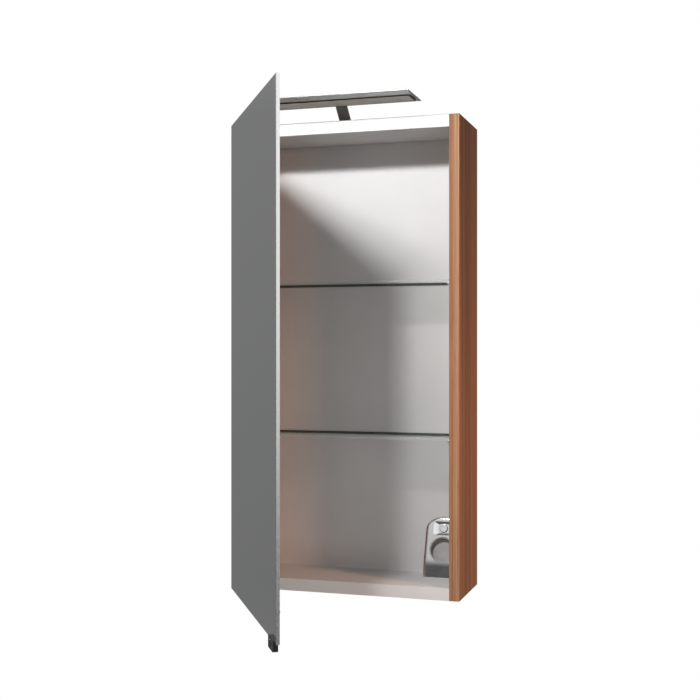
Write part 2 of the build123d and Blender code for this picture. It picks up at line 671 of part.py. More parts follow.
# Hinges: each fixed leaf has a knuckle at both ends, and the door leaf has the long one between
FIXED = Plane(origin=(AXIS_X, AXIS_Y, 0), x_dir=(1, 0, 0), z_dir=(0, 0, 1))
for name, hinge_z in zip(HINGE_NAMES, HINGE_ZS):
    with BuildPart() as fixed_leaf:
        with BuildSketch(FIXED.offset(hinge_z - HINGE_L / 2)):
            with Locations((LEAF_START, HINGE_AXIS_OUT)):
                Rectangle(
                    FIXED_LEAF_REACH - HINGE_AXIS_IN - LEAF_START,
                    LEAF_T,
                    align=(Align.MIN, Align.MAX),
                )
        extrude(amount=HINGE_L)
        for knuckle_z in (hinge_z - HINGE_L / 2, hinge_z + HINGE_L / 2 - HINGE_END_KNUCKLE):
            with BuildSketch(FIXED.offset(knuckle_z)):
                Circle(KNUCKLE_R)
                Rectangle(LEAF_START, HINGE_AXIS_OUT, align=(Align.MIN, Align.MIN))
                Circle(HINGE_PIN_R + HINGE_PIN_FIT, mode=Mode.SUBTRACT)
            extrude(amount=HINGE_END_KNUCKLE)
        for step in (-1, 0, 1):
            screw_place = (LEFT_X + LEAF_SCREW_IN, FRONT_Y - LEAF_T, hinge_z + step * LEAF_SCREW_PITCH)
            countersink(
                Plane(origin=screw_place, x_dir=(1, 0, 0), z_dir=(0, -1, 0)),
                LEAF_SCREW_R,
                LEAF_SCREW_HEAD_R,
                LEAF_SCREW_HEAD_L,
                LEAF_T,
            )
    fixed_leaf.part.label = name + "_hinge_fixed_leaf"
    export_step(fixed_leaf.part, "parts/" + name + "_hinge_fixed_leaf.step")

    with BuildPart() as door_leaf:
        with BuildSketch(DOOR.offset(hinge_z - HINGE_L / 2)):
            with Locations((LEAF_START, -KNUCKLE_R)):
                Rectangle(
                    DOOR_LEAF_REACH - HINGE_AXIS_IN - LEAF_START,
                    LEAF_T,
                    align=(Align.MIN, Align.MIN),
                )
        extrude(amount=HINGE_L)
        with BuildSketch(DOOR.offset(hinge_z - DOOR_KNUCKLE_L / 2)):
            Circle(KNUCKLE_R)
            Rectangle(LEAF_START, KNUCKLE_R, align=(Align.MIN, Align.MAX))
            Circle(HINGE_PIN_R + HINGE_PIN_FIT, mode=Mode.SUBTRACT)
        extrude(amount=DOOR_KNUCKLE_L)
    door_leaf.part.label = name + "_hinge_door_leaf"
    export_step(door_leaf.part, "parts/" + name + "_hinge_door_leaf.step")

with BuildPart() as hinge_pins:
    for hinge_z in HINGE_ZS:
        with BuildSketch(FIXED.offset(hinge_z - HINGE_L / 2)):
            Circle(HINGE_PIN_R)
        extrude(amount=HINGE_L)
        with BuildSketch(FIXED.offset(hinge_z + HINGE_L / 2)):
            Circle(HINGE_PIN_HEAD_R)
        extrude(amount=HINGE_PIN_HEAD_L)
hinge_pins.part.label = "hinge_pins"
export_step(hinge_pins.part, "parts/hinge_pins.step")

with BuildPart() as hinge_screws:
    leaf_screw_planes = [
        Plane(origin=(x, FRONT_Y - LEAF_T, z), x_dir=(1, 0, 0), z_dir=(0, -1, 0))
        for x, z in LEAF_SCREW_PLACES
    ]
    add_screws(leaf_screw_planes, LEAF_SCREW_R, LEAF_SCREW_HEAD_R, LEAF_SCREW_HEAD_L, SCREW_L)
hinge_screws.part.label = "hinge_screws"
export_step(hinge_screws.part, "parts/hinge_screws.step")

with BuildPart() as hinge_bond_pads:
    for hinge_z in HINGE_ZS:
        with BuildSketch(DOOR.offset(hinge_z - HINGE_L / 2)):
            with Locations((LEAF_START, -KNUCKLE_R)):
                Rectangle(
                    DOOR_LEAF_REACH - HINGE_AXIS_IN - LEAF_START,
                    PAD_T,
                    align=(Align.MIN, Align.MAX),
                )
        extrude(amount=HINGE_L)
hinge_bond_pads.part.label = "hinge_bond_pads"
export_step(hinge_bond_pads.part, "parts/hinge_bond_pads.step")

# Front mirror with a ground bevel round its face
with BuildPart() as front_mirror:
    with BuildSketch(DOOR.offset(DOOR_Z0)):
        with Locations((DOOR_START, MIRROR_FACE_V)):
            Rectangle(DOOR_W, FRONT_MIRROR_T, align=(Align.MIN, Align.MIN))
    extrude(amount=DOOR_H)
    mirror_face = front_mirror.faces().sort_by(Axis(DOOR.origin, DOOR.y_dir))[0]
    chamfer(mirror_face.edges(), MIRROR_BEVEL)
front_mirror.part.label = "front_mirror"
export_step(front_mirror.part, "parts/front_mirror.step")

# Rear mirror, clear of the hinge leaves
REAR_MIRROR_START = REAR_MIRROR_INSET - HINGE_AXIS_IN
with BuildPart() as rear_mirror:
    with BuildSketch(DOOR.offset(DOOR_Z0)):
        with Locations((REAR_MIRROR_START, BOND_V)):
            Rectangle(DOOR_END - REAR_MIRROR_START, REAR_MIRROR_T, align=(Align.MIN, Align.MIN))
    extrude(amount=DOOR_H)
rear_mirror.part.label = "rear_mirror"
export_step(rear_mirror.part, "parts/rear_mirror.step")

# Clear bumpers that meet the front edge of the right side
BUMPER_T = HINGE_AXIS_OUT - REAR_FACE_V - BUMPER_GAP
with BuildPart() as door_bumpers:
    for bumper_z in (BOTTOM_Z + BUMPER_DROP, TOP_Z - BUMPER_DROP):
        bumper_place = DOOR.from_local_coords((DOOR_END - BUMPER_INSET, REAR_FACE_V, bumper_z))
        with BuildSketch(Plane(bumper_place, x_dir=DOOR.x_dir, z_dir=DOOR.y_dir)):
            Circle(BUMPER_R)
        extrude(amount=BUMPER_T)
    bumper_tops = door_bumpers.faces().group_by(Axis(DOOR.origin, DOOR.y_dir))[-1]
    chamfer(bumper_tops.edges(), BUMPER_EDGE)
door_bumpers.part.label = "door_bumpers"
export_step(door_bumpers.part, "parts/door_bumpers.step")

# Grip: an angle round the lower edge of the front mirror, with a dished thumb rest
HANDLE_START = DOOR.from_local_coords((DOOR_END - HANDLE_END_GAP, 0, DOOR_Z0))
HANDLE_MID_U = DOOR_END - HANDLE_END_GAP - HANDLE_L / 2
DISH_Z = DOOR_Z0 + (HANDLE_ABOVE - HANDLE_BELOW) / 2
DISH_AXIS_OUT = ((DISH_H / 2) ** 2 - DISH_DEPTH**2) / (2 * DISH_DEPTH)
HANDLE_FRONT_V = MIRROR_FACE_V - HANDLE_PROUD
with BuildPart() as door_handle:
    with BuildSketch(Plane(HANDLE_START, x_dir=DOOR.y_dir, z_dir=DOOR.x_dir)):
        with BuildLine():
            Polyline(
                (MIRROR_FACE_V, 0),
                (MIRROR_FACE_V, HANDLE_ABOVE),
                (HANDLE_FRONT_V + HANDLE_TOP_EDGE, HANDLE_ABOVE),
                (HANDLE_FRONT_V, HANDLE_ABOVE - HANDLE_TOP_EDGE),
                (HANDLE_FRONT_V, -HANDLE_BELOW),
                (HANDLE_FRONT_V + HANDLE_WRAP, -HANDLE_BELOW),
                (HANDLE_FRONT_V + HANDLE_WRAP, 0),
                close=True,
            )
        make_face()
    extrude(amount=-HANDLE_L)
    cross_edges = door_handle.edges().filter_by(Axis(DOOR.origin, DOOR.y_dir)).group_by(Axis.Z)
    fillet(cross_edges[0] + cross_edges[-1], HANDLE_CORNER_R)
    dish_origin = DOOR.from_local_coords((HANDLE_MID_U, HANDLE_FRONT_V, DISH_Z))
    with BuildSketch(Plane(dish_origin, x_dir=DOOR.x_dir, z_dir=(0, 0, 1))):
        with BuildLine():
            dish_arc = ThreePointArc((-DISH_L / 2, 0), (0, DISH_DEPTH), (DISH_L / 2, 0))
            Polyline(
                dish_arc @ 1,
                (DISH_L / 2, -DISH_AXIS_OUT),
                (-DISH_L / 2, -DISH_AXIS_OUT),
                dish_arc @ 0,
            )
        make_face()
    dish_axis_place = DOOR.from_local_coords((HANDLE_MID_U, HANDLE_FRONT_V - DISH_AXIS_OUT, DISH_Z))
    revolve(axis=Axis(dish_axis_place, DOOR.x_dir), mode=Mode.SUBTRACT)
door_handle.part.label = "door_handle"
export_step(door_handle.part, "parts/door_handle.step")

# Lamp housing: a flat roof whose front edge slopes back and down to a lip
with BuildPart() as lamp_housing:
    with BuildSketch(Plane.YZ.offset(-LAMP_INNER_L / 2)):
        with BuildLine():
            Polyline(
                (LAMP_Y0, LAMP_Z1),
                (LAMP_Y1, LAMP_Z1),
                (LAMP_Y1, ROOF_Z),
                (TRAY_Y0, ROOF_Z),
                (TRAY_Y0, NOSE_Z),
                (NOSE_Y, NOSE_Z),
                (LAMP_Y0, ROOF_Z),
                close=True,
            )
        make_face()
    extrude(amount=LAMP_INNER_L)
lamp_housing.part.label = "lamp_housing"
export_step(lamp_housing.part, "parts/lamp_housing.step")

# Lamp end caps: thin plates in the blade's outline
for name, sign in (("left", -1), ("right", 1)):
    with BuildPart() as lamp_end_cap:
        with BuildSketch(Plane.YZ.offset(sign * LAMP_INNER_L / 2)):
            with BuildLine():
                Polyline(
                    (LAMP_Y0, LAMP_Z1),
                    (LAMP_Y1, LAMP_Z1),
                    (LAMP_Y1, ROOF_Z),
                    (NOSE_Y, NOSE_Z),
                    (LAMP_Y0, ROOF_Z),
                    close=True,
                )
            make_face()
        extrude(amount=sign * LAMP_CAP_T)
    lamp_end_cap.part.label = "lamp_" + name + "_end_cap"
    export_step(lamp_end_cap.part, "parts/lamp_" + name + "_end_cap.step")

# Lamp tray: a dark frame under the roof, with a wedge at each end that reaches the end cap
with BuildPart() as lamp_tray:
    with BuildSketch(Plane.XY.offset(LAMP_Z0)):
        with Locations((0, TRAY_MID_Y)):
            Rectangle(TRAY_L, TRAY_D)
            Rectangle(TRAY_L - 2 * LAMP_WALL, TRAY_D - 2 * LAMP_WALL, mode=Mode.SUBTRACT)
    extrude(amount=LAMP_T - LAMP_ROOF)
    for sign in SIDE_SIGNS:
        with BuildSketch(Plane.YZ.offset(sign * TRAY_L / 2)) as wedge:
            with BuildLine():
                Polyline((TRAY_Y0, ROOF_Z), (TRAY_Y0, NOSE_Z), (LAMP_Y1, ROOF_Z), close=True)
            make_face()
        extrude(wedge.sketch, amount=sign * TRAY_END_GAP)
lamp_tray.part.label = "lamp_tray"
export_step(lamp_tray.part, "parts/lamp_tray.step")

# Opal diffuser in the tray, on two ribs against the roof
DIFFUSER_L = TRAY_L - 2 * (LAMP_WALL + DIFFUSER_GAP)
DIFFUSER_D = TRAY_D - 2 * (LAMP_WALL + DIFFUSER_GAP)
RIB_H = LAMP_T - LAMP_ROOF - DIFFUSER_RECESS - DIFFUSER_T
with BuildPart() as lamp_diffuser:
    with BuildSketch(Plane.XY.offset(LAMP_Z0 + DIFFUSER_RECESS)):
        with Locations((0, TRAY_MID_Y)):
            Rectangle(DIFFUSER_L, DIFFUSER_D)
    extrude(amount=DIFFUSER_T)
    with BuildSketch(Plane.XY.offset(LAMP_Z0 + DIFFUSER_RECESS + DIFFUSER_T)):
        with Locations((0, TRAY_MID_Y)):
            with GridLocations(0, DIFFUSER_D - LAMP_WALL, 1, 2):
                Rectangle(DIFFUSER_L, LAMP_WALL)
    extrude(amount=RIB_H)
lamp_diffuser.part.label = "lamp_diffuser"
export_step(lamp_diffuser.part, "parts/lamp_diffuser.step")

# Light-emitting diodes on a strip board under the roof
LED_BOARD_Z = ROOF_Z - LED_BOARD_T
with BuildPart() as lamp_led_board:
    with BuildSketch(Plane.XY.offset(LED_BOARD_Z)):
        with Locations((0, TRAY_MID_Y)):
            Rectangle(LED_BOARD_L, LED_BOARD_W)
    extrude(amount=LED_BOARD_T)
lamp_led_board.part.label = "lamp_led_board"
export_step(lamp_led_board.part, "parts/lamp_led_board.step")

with BuildPart() as lamp_leds:
    with BuildSketch(Plane.XY.offset(LED_BOARD_Z)):
        with Locations((0, TRAY_MID_Y)):
            with GridLocations(LED_BOARD_L / LED_COUNT, 0, LED_COUNT, 1):
                Rectangle(LED_SIZE, LED_SIZE)
    extrude(amount=-LED_T)
lamp_leds.part.label = "lamp_leds"
export_step(lamp_leds.part, "parts/lamp_leds.step")

# Lamp arm: one bent strip, flat on the top board, leaning forward, upright behind the tray
with BuildPart() as lamp_arm:
    with BuildSketch(Plane.YZ.offset(-ARM_W / 2)):
        with BuildLine():
            FilletPolyline(
                (ARM_FOOT_Y1, TOP_Z + ARM_T / 2),
                (ARM_FOOT_Y0, TOP_Z + ARM_T / 2),
                (TRAY_Y1 + ARM_T / 2, LAMP_Z0),
                (TRAY_Y1 + ARM_T / 2, ROOF_Z),
                radius=ARM_BEND_R,
            )
        trace(line_width=ARM_T)
    extrude(amount=ARM_W)
    for y in ARM_SCREW_YS:
        countersink(
            Plane(origin=(0, y, TOP_Z + ARM_T), x_dir=(1, 0, 0), z_dir=(0, 0, 1)),
            SCREW_R,
            SCREW_HEAD_R,
            SCREW_HEAD_L,
            ARM_T,
        )
lamp_arm.part.label = "lamp_arm"
export_step(lamp_arm.part, "parts/lamp_arm.step")

with BuildPart() as lamp_arm_screws:
    arm_screw_planes = [Plane(origin=(0, y, TOP_Z + ARM_T), z_dir=(0, 0, 1)) for y in ARM_SCREW_YS]
    add_screws(arm_screw_planes, SCREW_R, SCREW_HEAD_R, SCREW_HEAD_L, SCREW_L)
lamp_arm_screws.part.label = "lamp_arm_screws"
export_step(lamp_arm_screws.part, "parts/lamp_arm_screws.step")

# Rubber grommet in the top board's cable hole
with BuildPart() as cable_grommet:
    with BuildSketch(Plane.XY.offset(CEILING_Z)):
        with Locations((0, GROMMET_Y)):
            Circle(GROMMET_R)
    extrude(amount=BOARD_T)
    with BuildSketch(Plane.XY.offset(TOP_Z)):
        with Locations((0, GROMMET_Y)):
            Circle(GROMMET_FLANGE_R)
    extrude(amount=GROMMET_FLANGE_T)
    cut_holes(
        Plane.XY.offset(CEILING_Z),
        [(0, GROMMET_Y)],
        GROMMET_BORE_R,
        BOARD_T + GROMMET_FLANGE_T,
    )
cable_grommet.part.label = "cable_grommet"
export_step(cable_grommet.part, "parts/cable_grommet.step")

# Socket box shell: arched front outline, upright skirt, leaning face, open at the back
with BuildPart() as socket_box_cavity:
    add_box_block(BOX_WALL)

with BuildPart() as socket_box_shell:
    add_box_block(0)
    add(socket_box_cavity.part, mode=Mode.SUBTRACT)
    cut_holes(
        face_plane(SOCKET_RISE),
        [(0, 0)],
        SOCKET_RIM_R + SOCKET_FIT,
        -2 * BOX_WALL,
    )
    with BuildSketch(face_plane(SWITCH_RISE)):
        add_bezel_outline(BEZEL_LIP - BEZEL_FIT)
    extrude(amount=-2 * BOX_WALL, mode=Mode.SUBTRACT)
socket_box_shell.part.label = "socket_box_shell"
export_step(socket_box_shell.part, "parts/socket_box_shell.step")

# Socket well: a round cup with a rounded mouth, shallow pin holes and slots for the earth clips
SOCKET_FACE = face_plane(SOCKET_RISE)
SOCKET_FLOOR = SOCKET_FACE.offset(-SOCKET_WELL_DEPTH)
CLIP_PLACES = [(0, side * (SOCKET_WELL_R + SOCKET_WALL / 2)) for side in SIDE_SIGNS]
with BuildPart() as socket_well:
    with BuildSketch(SOCKET_FLOOR.offset(-SOCKET_BASE_T)):
        Circle(SOCKET_RIM_R)
    extrude(amount=SOCKET_WELL_DEPTH + SOCKET_BASE_T)
    cut_holes(SOCKET_FACE, [(0, 0)], SOCKET_WELL_R, -SOCKET_WELL_DEPTH)
    mouth = socket_well.faces().sort_by(Axis(SOCKET_FACE.origin, SOCKET_FACE.z_dir))[-1]
    fillet(mouth.edges().sort_by(SortBy.RADIUS)[0], SOCKET_MOUTH_R)
    pin_holes = [(side * SOCKET_PIN_PITCH / 2, 0) for side in SIDE_SIGNS]
    cut_holes(SOCKET_FLOOR, pin_holes, SOCKET_PIN_R, -SOCKET_PIN_DEPTH)
    with BuildSketch(SOCKET_FLOOR):
        with Locations(*CLIP_PLACES):
            Rectangle(EARTH_CLIP_W + 2 * EARTH_CLIP_FIT, 2 * SOCKET_WALL)
    extrude(amount=EARTH_CLIP_L, mode=Mode.SUBTRACT)
socket_well.part.label = "socket_well"
export_step(socket_well.part, "parts/socket_well.step")

# Earth clips: flat springs let into the wall of the well, standing on its base
with BuildPart() as socket_earth_clips:
    with BuildSketch(SOCKET_FLOOR):
        with Locations(*CLIP_PLACES):
            Rectangle(EARTH_CLIP_W, SOCKET_WALL - 2 * EARTH_CLIP_FIT)
    extrude(amount=EARTH_CLIP_L - EARTH_CLIP_FIT)
socket_earth_clips.part.label = "socket_earth_clips"
export_step(socket_earth_clips.part, "parts/socket_earth_clips.step")

# Switch bezel: a plate let into the leaning face, lipped, and dished round the button
SWITCH_FACE = face_plane(SWITCH_RISE)
with BuildPart() as switch_bezel:
    with BuildSketch(SWITCH_FACE):
        add_bezel_outline(0)
    extrude(amount=BEZEL_LIP_T)
    with BuildSketch(SWITCH_FACE):
        add_bezel_outline(BEZEL_LIP)
    extrude(amount=-BEZEL_BODY_T)
    with BuildSketch(SWITCH_FACE.offset(BEZEL_LIP_T)):
        add_bezel_outline(BEZEL_RIM)
    with BuildSketch(SWITCH_FACE.offset(-BEZEL_DISH)):
        RectangleRounded(BEZEL_FLOOR_W, BEZEL_FLOOR_L, BEZEL_FLOOR_R)
    loft(mode=Mode.SUBTRACT)
    cut_holes(SWITCH_FACE, [(0, 0)], BUTTON_R + BUTTON_FIT, -BEZEL_BODY_T)
switch_bezel.part.label = "switch_bezel"
export_step(switch_bezel.part, "parts/switch_bezel.step")

# Switch button on its stem, with a shallow dish for the finger
with BuildPart() as switch_button:
    with BuildSketch(SWITCH_FACE.offset(-BOX_WALL)):
        Circle(BUTTON_R)
    extrude(amount=BOX_WALL + BUTTON_PROUD)
    button_top = switch_button.faces().sort_by(Axis(SWITCH_FACE.origin, SWITCH_FACE.z_dir))[-1]
    fillet(button_top.edges(), BUTTON_EDGE)
    cut_holes(SWITCH_FACE.offset(BUTTON_PROUD), [(0, 0)], BUTTON_DISH_R, -BUTTON_DISH)
    with BuildSketch(SWITCH_FACE.offset(-BOX_WALL)):
        Circle(STEM_R)
    extrude(amount=-STEM_L)
switch_button.part.label = "switch_button"
export_step(switch_button.part, "parts/switch_button.step")

# Switch works: a wedge on the back panel, bored to guide the stem
WORKS_DROP = (BOX_WALL + BUTTON_TRAVEL + WORKS_GAP) / cos(radians(BOX_LEAN))
WORKS_RISES = (SWITCH_RISE - WORKS_H / 2, SWITCH_RISE + WORKS_H / 2)
with BuildPart() as switch_works:
    with BuildSketch(Plane.YZ.offset(BOX_X - WORKS_W / 2)):
        with BuildLine():
            Polyline(
                (BACK_FACE_Y, BOX_Z0 + WORKS_RISES[0]),
                (BACK_FACE_Y - face_depth(WORKS_RISES[0]) + WORKS_DROP, BOX_Z0 + WORKS_RISES[0]),
                (BACK_FACE_Y - face_depth(WORKS_RISES[1]) + WORKS_DROP, BOX_Z0 + WORKS_RISES[1]),
                (BACK_FACE_Y, BOX_Z0 + WORKS_RISES[1]),
                close=True,
            )
        make_face()
    extrude(amount=WORKS_W)
    stem_reach = BOX_WALL + STEM_L + BUTTON_TRAVEL + WORKS_GAP
    cut_holes(SWITCH_FACE, [(0, 0)], STEM_R + STEM_FIT, -stem_reach)
switch_works.part.label = "switch_works"
export_step(switch_works.part, "parts/switch_works.step")

# Rear body through the back panel: it carries the well, with a cable inlet in its lower face
with BuildPart() as socket_rear_body:
    with BuildSketch(Plane.XZ.offset(-BACK_FACE_Y)):
        with Locations((BOX_X, REAR_BODY_Z)):
            RectangleRounded(REAR_BODY_W, REAR_BODY_H, REAR_BODY_CORNER_R)
    extrude(amount=-(BACK_T + REAR_BODY_REACH))
    cut_holes(
        SOCKET_FACE,
        [(0, 0)],
        SOCKET_RIM_R,
        -(SOCKET_WELL_DEPTH + SOCKET_BASE_T),
    )
    inlet = Plane.XY.offset(BOX_Z0 + REAR_BODY_RISE)
    cut_holes(inlet, [(BOX_X, BACK_REAR_Y + REAR_BODY_REACH / 2)], INLET_R, INLET_DEPTH)
socket_rear_body.part.label = "socket_rear_body"
export_step(socket_rear_body.part, "parts/socket_rear_body.step")
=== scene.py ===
"""Looks of the mirror cabinet: finishes, screws, studio light and the camera."""
import json
from math import cos, pi, radians, sin

import bmesh
import bpy
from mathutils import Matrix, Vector


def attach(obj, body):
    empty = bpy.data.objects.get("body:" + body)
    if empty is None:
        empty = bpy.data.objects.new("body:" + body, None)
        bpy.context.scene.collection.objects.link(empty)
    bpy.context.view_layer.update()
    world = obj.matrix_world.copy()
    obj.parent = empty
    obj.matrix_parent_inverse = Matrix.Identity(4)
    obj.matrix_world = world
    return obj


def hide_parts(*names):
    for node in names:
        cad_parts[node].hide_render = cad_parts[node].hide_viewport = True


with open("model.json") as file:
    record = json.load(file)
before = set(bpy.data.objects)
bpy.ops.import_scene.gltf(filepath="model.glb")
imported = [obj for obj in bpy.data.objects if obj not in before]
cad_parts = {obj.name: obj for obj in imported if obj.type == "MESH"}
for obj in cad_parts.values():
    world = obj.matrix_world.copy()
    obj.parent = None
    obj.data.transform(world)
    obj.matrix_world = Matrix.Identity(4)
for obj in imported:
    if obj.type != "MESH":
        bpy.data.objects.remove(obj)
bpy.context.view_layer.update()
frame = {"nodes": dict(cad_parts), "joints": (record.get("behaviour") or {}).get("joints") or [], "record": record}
nodes = frame["nodes"]
joints = {joint["name"]: joint for joint in frame["joints"]}
scene = bpy.context.scene
scene.view_settings.view_transform = "Standard"

# Directions of the row frame and plain colours
FRONT = (0, -1, 0)
REAR = (0, 1, 0)
UP = (0, 0, 1)
WHITE = (1, 1, 1)
BLACK = (0, 0, 0)

# Picture: a level camera to the right of the cabinet, with the photograph's square frame
PICTURE_PX = 700
FOCAL_PX = 1150.0
SENSOR_MM = 36.0
CAMERA_PLACE = (0.5245, -1.7471, -0.2943)
CAMERA_TURN = 17.624

# Key lamp: small, above and before the door, for the clear shadow of the door's corner
KEY_PLACE = (-0.0448, -0.9252, 0.3398)
KEY_RADIUS = 0.035
KEY_POWER = 18.0

# Wing lamp: to the left of the key lamp, so that the shadow's edge brightens slowly to the right
WING_PLACE = (-0.1098, -0.9252, 0.3098)
WING_AIM = (0.12, -0.02, -0.12)
WING_SIZE = (0.13, 0.06)
WING_POWER = 4.2

# Side lamp: low at the right, on the outer side panel
SIDE_PLACE = (1.0, 0.05, -0.85)
SIDE_AIM = (0.175, -0.07, -0.5)
SIDE_SIZE = (0.3, 0.3)
SIDE_POWER = 0.8

# Warm lamp: a beam from the right that passes the side panel and reaches the left of the inside
WARM_PLACE = (1.364, -0.62, 0.0)
WARM_AIM = (-0.13, -0.024, -0.6)
WARM_SIZE = (0.15, 0.15)
WARM_POWER = 1.2
WARM_BEAM = 60.0
WARM_COLOUR = (1.0, 0.58, 0.38)

# Front lamp: soft and low, on the front edge of the bottom board
FRONT_PLACE = (0.25, -1.5, -1.1)
FRONT_AIM = (0.0, -0.13, -0.65)
FRONT_SIZE = (0.5, 0.5)
FRONT_POWER = 1.5

# Even light of the room, by height
AMBIENT_ABOVE = 0.36
AMBIENT_BELOW = 0.02
AMBIENT_SPAN = (-0.4, 0.4)

# Room that mirrors and metal see: greys from straight down to straight up, behind and before
# the cabinet, a bright screen in front and the white backdrop
ROOM_BEHIND = ((0.0, 0.30), (0.40, 0.17), (0.60, 0.20), (0.72, 0.42), (1.0, 0.95))
ROOM_BEFORE = ((0.0, 0.25), (0.40, 0.06), (0.57, 0.09), (0.75, 0.66), (1.0, 0.90))
ROOM_TURN_SPAN = (-0.25, 0.25)
SCREEN_SIDE = (0.537, -0.739, 0.407)
SCREEN_SPAN = (0.81, 0.90)
BACKDROP_HALF_ANGLE = 17.5
BACKDROP_FADE_ANGLE = 22.5

# A ray with fewer diffuse bounces than this belongs to a surface in plain view
FIRST_BOUNCE = 0.5

# Floor
FLOOR_Z = -1.25
FLOOR_SIDES = 96
FLOOR_RADIUS = 1.2
FLOOR_SHADOW_RADIUS = 0.5
FLOOR_WHITE_RADIUS = 0.8

# Spans of a noise value that are stretched over a finish's full range
NOISE_NARROW = (0.35, 0.65)
NOISE_BROAD = (0.3, 0.7)

# Depths inside an edge at which its colour starts and is full; on the glass's rear edge and along the white band's
# top, that colour is painted shade
EDGE_START = 0.0008
EDGE_FULL = 0.0004

# Colour sockets of Blender's mix node
MIX_FIRST = 6
MIX_SECOND = 7
MIX_RESULT = 2


class Graph:
    """Short calls that add and wire the nodes of one material or of the world."""

    def __init__(self, owner):
        owner.use_nodes = True
        self.tree = owner.node_tree
        self.tree.nodes.clear()

    def node(self, kind, **settings):
        made = self.tree.nodes.new(kind)
        for key, value in settings.items():
            setattr(made, key, value)
        return made

    def wire(self, source, target):
        """Link an output, or set a plain value."""
        if isinstance(source, bpy.types.NodeSocket):
            self.tree.links.new(source, target)
        else:
            target.default_value = source

    def wire_colour(self, source, target):
        """Link an output, or set a plain colour."""
        linked = isinstance(source, bpy.types.NodeSocket)
        self.wire(source if linked else (*source, 1.0), target)

    def place(self, scale=1):
        """The piece's own coordinates in metres, stretched evenly or by a scale for each axis."""
        coordinates = self.node("ShaderNodeTexCoord")
        mapping = self.node("ShaderNodeMapping")
        mapping.inputs["Scale"].default_value = scale if isinstance(scale, tuple) else (scale,) * 3
        self.wire(coordinates.outputs["Object"], mapping.inputs["Vector"])
        return mapping.outputs["Vector"]

    def along(self, direction):
        """How far a point lies along a direction of the row frame, in metres."""
        return self.dot(self.place(), direction)

    def side(self, direction):
        """How far the surface faces a direction of the row frame, from -1 to 1."""
        return self.dot(self.node("ShaderNodeTexCoord").outputs["Normal"], direction)

    def noise(self, scale, detail=3.0, roughness=0.5, distortion=0.0):
        made = self.node("ShaderNodeTexNoise")
        self.wire(self.place(scale), made.inputs["Vector"])
        made.inputs["Scale"].default_value = 1.0
        made.inputs["Detail"].default_value = detail
        made.inputs["Roughness"].default_value = roughness
        made.inputs["Distortion"].default_value = distortion
        return made.outputs["Fac"]

    def cells(self, scale):
        """Distance to the nearest of many scattered points."""
        made = self.node("ShaderNodeTexVoronoi", feature="F1")
        self.wire(self.place(scale), made.inputs["Vector"])
        made.inputs["Scale"].default_value = 1.0
        return made.outputs["Distance"]

    def math(self, operation, first, second=0.0, third=0.0):
        made = self.node("ShaderNodeMath", operation=operation)
        for value, socket in zip((first, second, third), made.inputs):
            self.wire(value, socket)
        return made.outputs[0]

    def weigh(self, *parts):
        """Sum of values, given as pairs of a value and its weight."""
        total = 0.0
        for value, weight in parts:
            total = self.math("MULTIPLY_ADD", value, weight, total)
        return total

    def dot(self, first, second):
        made = self.node("ShaderNodeVectorMath", operation="DOT_PRODUCT")
        self.wire(first, made.inputs[0])
        self.wire(second, made.inputs[1])
        return made.outputs["Value"]

    def spread(self, value, span, out=(0.0, 1.0)):
        """Map a value smoothly from one span to another."""
        made = self.node("ShaderNodeMapRange", interpolation_type="SMOOTHSTEP")
        for socket, number in zip(made.inputs, (value, *span, *out)):
            self.wire(number, socket)
        return made.outputs[0]

    def mix(self, share, first, second):
        """A colour that goes from the first to the second with the share."""
        made = self.node("ShaderNodeMix", data_type="RGBA")
        self.wire(share, made.inputs["Factor"])
        self.wire_colour(first, made.inputs[MIX_FIRST])
        self.wire_colour(second, made.inputs[MIX_SECOND])
        return made.outputs[MIX_RESULT]

    def ramp(self, value, stops):
        made = self.node("ShaderNodeValToRGB")
        elements = made.color_ramp.elements
        while len(elements) < len(stops):
            elements.new(0.5)
        for element, (position, colour) in zip(elements, stops):
            element.position = position
            element.color = (*colour, 1.0)
        self.wire(value, made.inputs["Fac"])
        return made.outputs["Color"]

    def bump(self, height, depth, strength=0.6):
        made = self.node("ShaderNodeBump")
        made.inputs["Strength"].default_value = strength
        made.inputs["Distance"].default_value = depth
        self.wire(height, made.inputs["Height"])
        return made.outputs["Normal"]

    def surface(self, colour, roughness, normal=None, **more):
        """A Principled surface on the material's output."""
        shader = self.node("ShaderNodeBsdfPrincipled")
        self.wire_colour(colour, shader.inputs["Base Color"])
        self.wire(roughness, shader.inputs["Roughness"])
        if normal:
            self.wire(normal, shader.inputs["Normal"])
        for name, value in more.items():
            self.wire(value, shader.inputs[name.replace("_", " ")])
        output = self.node("ShaderNodeOutputMaterial")
        self.wire(shader.outputs[0], output.inputs["Surface"])
        return shader, output

    def join_shaders(self, share, first, second, output):
        """Put a mix of two shaders on the material's output."""
        chosen = self.node("ShaderNodeMixShader")
        self.wire(share, chosen.inputs[0])
        self.wire(first.outputs[0], chosen.inputs[1])
        self.wire(second.outputs[0], chosen.inputs[2])
        self.wire(chosen.outputs[0], output.inputs["Surface"])


def shade(colour, share):
    """A colour made darker or lighter by a share."""
    return tuple(channel * share for channel in colour)


